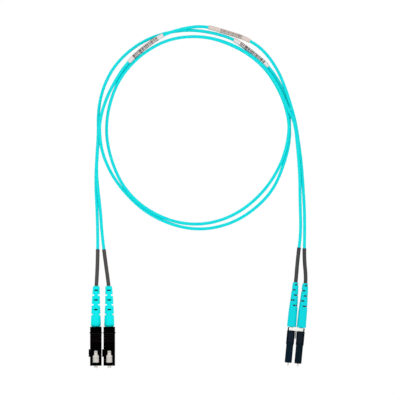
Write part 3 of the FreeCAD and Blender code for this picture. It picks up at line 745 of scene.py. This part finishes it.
def grip_painted_highlights():
    """Where the SC grips get painted highlights: lighter bands on the front slope of the ridge and
    on the ribs.
    """
    near, far = SC_RIDGE_HIGHLIGHT
    painted_light = [(SC_RIDGE - far, SC_RIDGE - near, linear(17, 16, 16))]
    for i in range(SC_RIBS):
        rear = SC_RIDGE - SC_RIBS_START - SC_RIB_PITCH * (i + 0.5)
        if i < SC_RIBS - 1:
            painted_light.append((rear - SC_RIB_PITCH / 2, rear, linear(10, 7, 8)))
        else:
            painted_light.append((rear - SC_LAST_RIB_HIGHLIGHT, rear, linear(14, 11, 12)))
    return painted_light


def make_plugs():
    """Materials and soft edges of the plugs, and the pieces that stand for some of their nodes."""
    # The SC grips' black has painted highlights: lighter bands on its ridge's front slope and on
    # its ribs.
    sc_black = moulded(
        "sc_black_plastic", linear(2, 1, 1), roughness=0.5, gloss=0.005, bands=grip_painted_highlights()
    )
    light = moulded("light_plastic", linear(221, 215, 209), roughness=0.4, gloss=0.3, glow=0.1)
    clip = moulded("clip_plastic", linear(240, 239, 230), roughness=0.38, gloss=0.3, glow=0.1)
    rubber = {"grain": 6000, "depth": 6e-6}
    soft = {"roughness": 0.5, "gloss": 0.06, "cloud": 0.05, **rubber}
    sc_aqua = moulded("sc_boot_rubber", linear(6, 228, 230), **soft)
    lc_aqua = moulded("lc_boot_rubber", linear(6, 209, 217), **soft)
    # Painted shade: a dark aqua for the webs set in the LC boots' slots.
    shadowed = moulded("aqua_boot_slot_shade", linear(8, 74, 84), roughness=0.6, gloss=0.1, **rubber)
    white, metal = ceramic(), turned_metal()
    # Each LC plug has its own black, made lighter or darker as painted shade for how the light
    # falls on it. Its trigger is painted lighter still as a painted highlight.
    for n, body_colour_as_lit, trigger_highlight_colour in (
        (1, linear(8, 26, 39), linear(21, 30, 43)),
        (2, linear(9, 24, 34), linear(21, 28, 37)),
    ):
        lc_black = moulded(f"lc_black_plastic_{n}", body_colour_as_lit, roughness=0.42, gloss=0.02)
        trigger_highlit_black = moulded(
            f"lc_trigger_plastic_{n}", trigger_highlight_colour, roughness=0.38, gloss=0.03
        )
        for node, material, edge in (
            ("lc_housing", lc_black, 6e-5),
            ("lc_latch_arm", lc_black, 5e-5),
            ("lc_trigger", trigger_highlit_black, 5e-5),
            ("lc_rear_body", lc_black, 4e-5),
            ("lc_ferrule", white, 2e-5),
            ("lc_ferrule_flange", metal, 3e-5),
            ("lc_crimp_sleeve", metal, 2e-5),
            ("lc_boot", lc_aqua, 6e-5),
            ("sc_grip", sc_black, 8e-5),
            ("sc_inner_body", light, 5e-5),
            ("sc_rear_body", light, 4e-5),
            ("sc_ferrule", white, 3e-5),
            ("sc_ferrule_flange", metal, 3e-5),
            ("sc_crimp_ring", metal, 2e-5),
        ):
            dress(f"{node}_{n}", material, edge)
        make_spring(f"sc_spring_{n}", NORTH, metal)
        make_spring(f"lc_spring_{n}", LC_ALONG, metal)
        make_leaning_boot(n, sc_aqua)
        make_slot_shade_webs(n, shadowed)
    make_clip(clip)


# ---------------------------------------------------------------- camera, floor and light
def make_camera():
    """A camera that looks straight down on the cord."""
    data = bpy.data.cameras.new("camera")
    data.type = "ORTHO"
    data.ortho_scale = VIEW_WIDTH
    camera = add_object("camera", data)
    camera.location = (*VIEW_CENTRE, CAMERA_HEIGHT)
    bpy.context.scene.camera = camera


def choose_by_ray(tree, output, unseen, seen):
    """One shader for rays that see a background directly, and another for all other rays."""
    path = tree.nodes.new("ShaderNodeLightPath")
    direct = path.outputs["Is Camera Ray"]
    for name in ("Is Glossy Ray", "Is Transmission Ray"):
        either = tree.nodes.new("ShaderNodeMath")
        either.operation = "MAXIMUM"
        tree.links.new(direct, either.inputs[0])
        tree.links.new(path.outputs[name], either.inputs[1])
        direct = either.outputs["Value"]
    choose = tree.nodes.new("ShaderNodeMixShader")
    tree.links.new(direct, choose.inputs["Fac"])
    tree.links.new(unseen.outputs[0], choose.inputs[1])
    tree.links.new(seen.outputs[0], choose.inputs[2])
    tree.links.new(choose.outputs[0], tree.nodes[output].inputs["Surface"])


def glowing_white(tree, diffuse, glow):
    """A diffuse white surface that glows too."""
    plain = tree.nodes.new("ShaderNodeBsdfDiffuse")
    plain.inputs["Color"].default_value = (diffuse, diffuse, diffuse, 1)
    shine = tree.nodes.new("ShaderNodeEmission")
    shine.inputs["Strength"].default_value = glow
    both = tree.nodes.new("ShaderNodeAddShader")
    tree.links.new(plain.outputs[0], both.inputs[0])
    tree.links.new(shine.outputs[0], both.inputs[1])
    return both


def make_floor():
    """A wide white floor that keeps a faint shadow."""
    mesh = bpy.data.meshes.new("floor")
    sides = ((-1, -1), (1, -1), (1, 1), (-1, 1))
    corners = [(x * FLOOR_HALF, y * FLOOR_HALF, FLOOR_LEVEL) for x, y in sides]
    mesh.from_pydata(corners, [], [(0, 1, 2, 3)])
    material = bpy.data.materials.new("floor_white")
    material.use_nodes = True
    tree = material.node_tree
    tree.nodes.remove(tree.nodes["Principled BSDF"])
    unseen, seen = glowing_white(tree, *FLOOR_LIGHTS), glowing_white(tree, *FLOOR_SEEN)
    choose_by_ray(tree, "Material Output", unseen, seen)
    mesh.materials.append(material)
    add_object("floor", mesh)


def make_world():
    """Even light from all round, and a white surround where it is seen directly."""
    world = bpy.data.worlds.new("surround")
    bpy.context.scene.world = world
    world.use_nodes = True
    tree = world.node_tree
    light, white = tree.nodes["Background"], tree.nodes.new("ShaderNodeBackground")
    for shader, strength in ((light, WORLD_LIGHTS), (white, WORLD_SEEN)):
        shader.inputs["Color"].default_value = (1, 1, 1, 1)
        shader.inputs["Strength"].default_value = strength
    choose_by_ray(tree, "World Output", light, white)


def make_lamp(name, place, watts):
    """A soft square lamp that points at the middle of the cord."""
    data = bpy.data.lights.new(name, "AREA")
    data.shape = "SQUARE"
    data.size = LAMP_SIZE
    data.energy = watts
    lamp = add_object(name, data)
    lamp.location = place
    target = Vector((*VIEW_CENTRE, 0))
    lamp.rotation_euler = (target - lamp.location).to_track_quat("-Z", "Y").to_euler()


make_camera()
make_cables()
make_plugs()
make_floor()
make_world()
make_lamp("key", *KEY)
make_lamp("fill", *FILL)
bpy.context.scene.view_settings.view_transform = "Standard"
